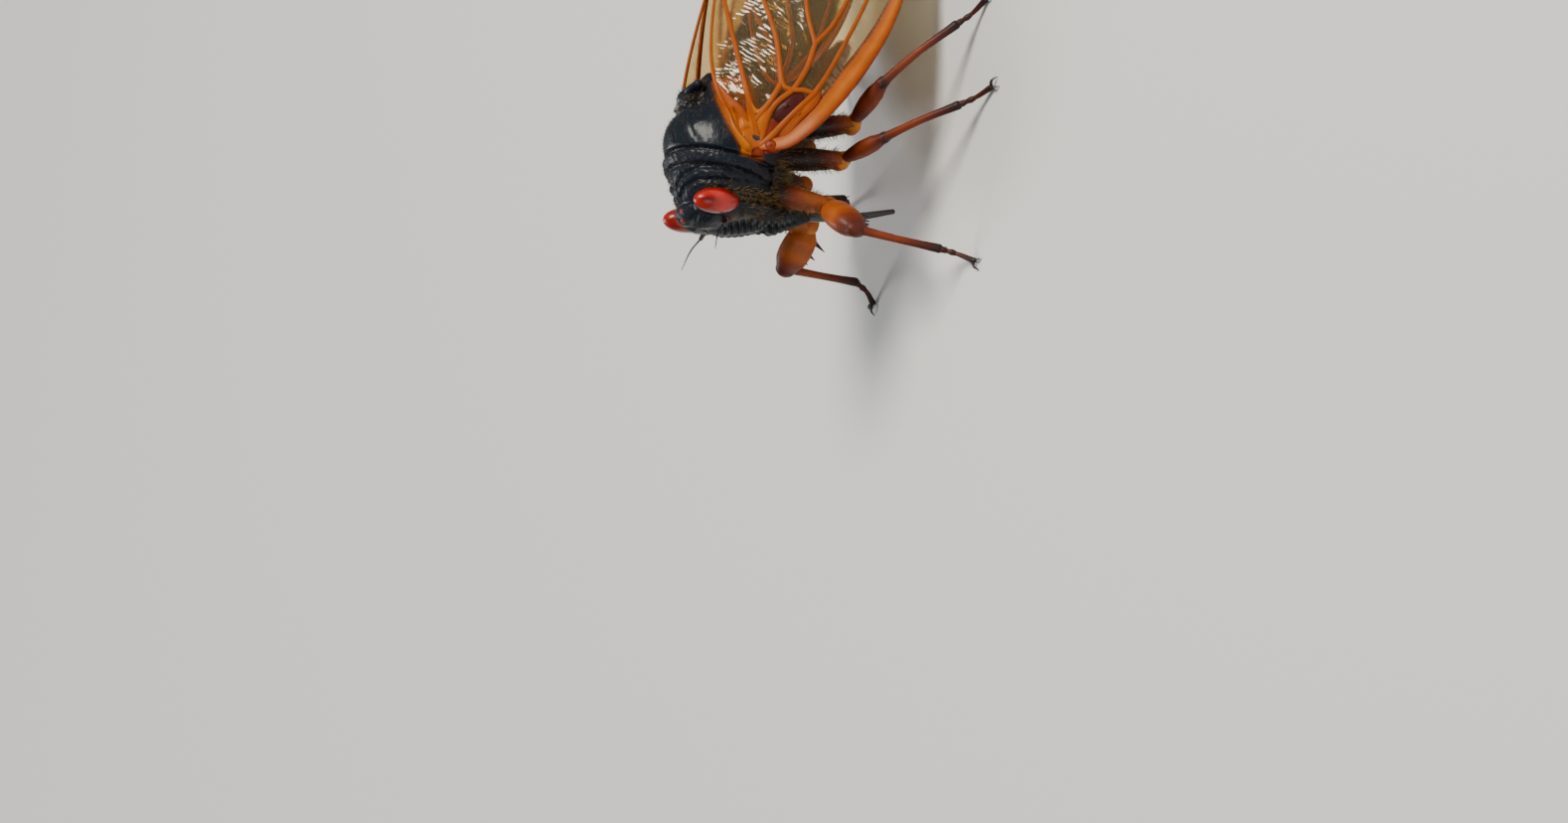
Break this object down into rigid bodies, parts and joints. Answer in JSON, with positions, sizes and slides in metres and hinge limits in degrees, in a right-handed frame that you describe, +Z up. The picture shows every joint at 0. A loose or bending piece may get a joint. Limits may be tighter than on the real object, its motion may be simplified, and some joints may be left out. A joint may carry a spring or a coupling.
{
  "type": "periodical cicada",
  "caption": "Life-size periodical cicada standing with the fore body raised, with folded clear wings, beak, feelers and spined fore legs.",
  "frame": {"origin": "middle of the bounding box on the floor, between the feet", "axes": "+X towards the head, +Y to the animal's left, +Z up"},
  "size_m": [0.0458, 0.0306, 0.0201],
  "materials": {
    "cuticle": "glossy black body shell with a blue sheen, finely pitted",
    "abdomen": "black, with thin orange borders on the underside rings",
    "eyes": "glossy deep red, finely faceted",
    "wings": "clear amber membrane with orange veins",
    "legs": "shiny red-brown, darker at the joints",
    "feet": "dark red-brown",
    "feelers": "black, with a thin brown whip"
  },
  "bodies": {
    "root": {"abdomen": "abdomen", "abdomen_tip": "abdomen", "antenna_left": "feelers", "antenna_right": "feelers", "coxa_fore_left": "legs", "coxa_fore_right": "legs", "coxa_hind_left": "legs", "coxa_hind_right": "legs", "coxa_mid_left": "legs", "coxa_mid_right": "legs", "eye_left": "eyes", "eye_right": "eyes", "femur_fore_left": "legs", "femur_fore_right": "legs", "femur_hind_left": "legs", "femur_hind_right": "legs", "femur_mid_left": "legs", "femur_mid_right": "legs", "forewing_left": "wings", "forewing_right": "wings", "head": "cuticle", "hindwing_left": "wings", "hindwing_right": "wings", "mesonotum": "cuticle", "operculum_left": "abdomen", "operculum_right": "abdomen", "pronotum": "cuticle", "rostrum": "cuticle", "tarsus_fore_left": "feet", "tarsus_fore_right": "feet", "tarsus_hind_left": "feet", "tarsus_hind_right": "feet", "tarsus_mid_left": "feet", "tarsus_mid_right": "feet", "thorax_underside": "cuticle", "tibia_fore_left": "legs", "tibia_fore_right": "legs", "tibia_hind_left": "legs", "tibia_hind_right": "legs", "tibia_mid_left": "legs", "tibia_mid_right": "legs"}
  },
  "joints": []
}
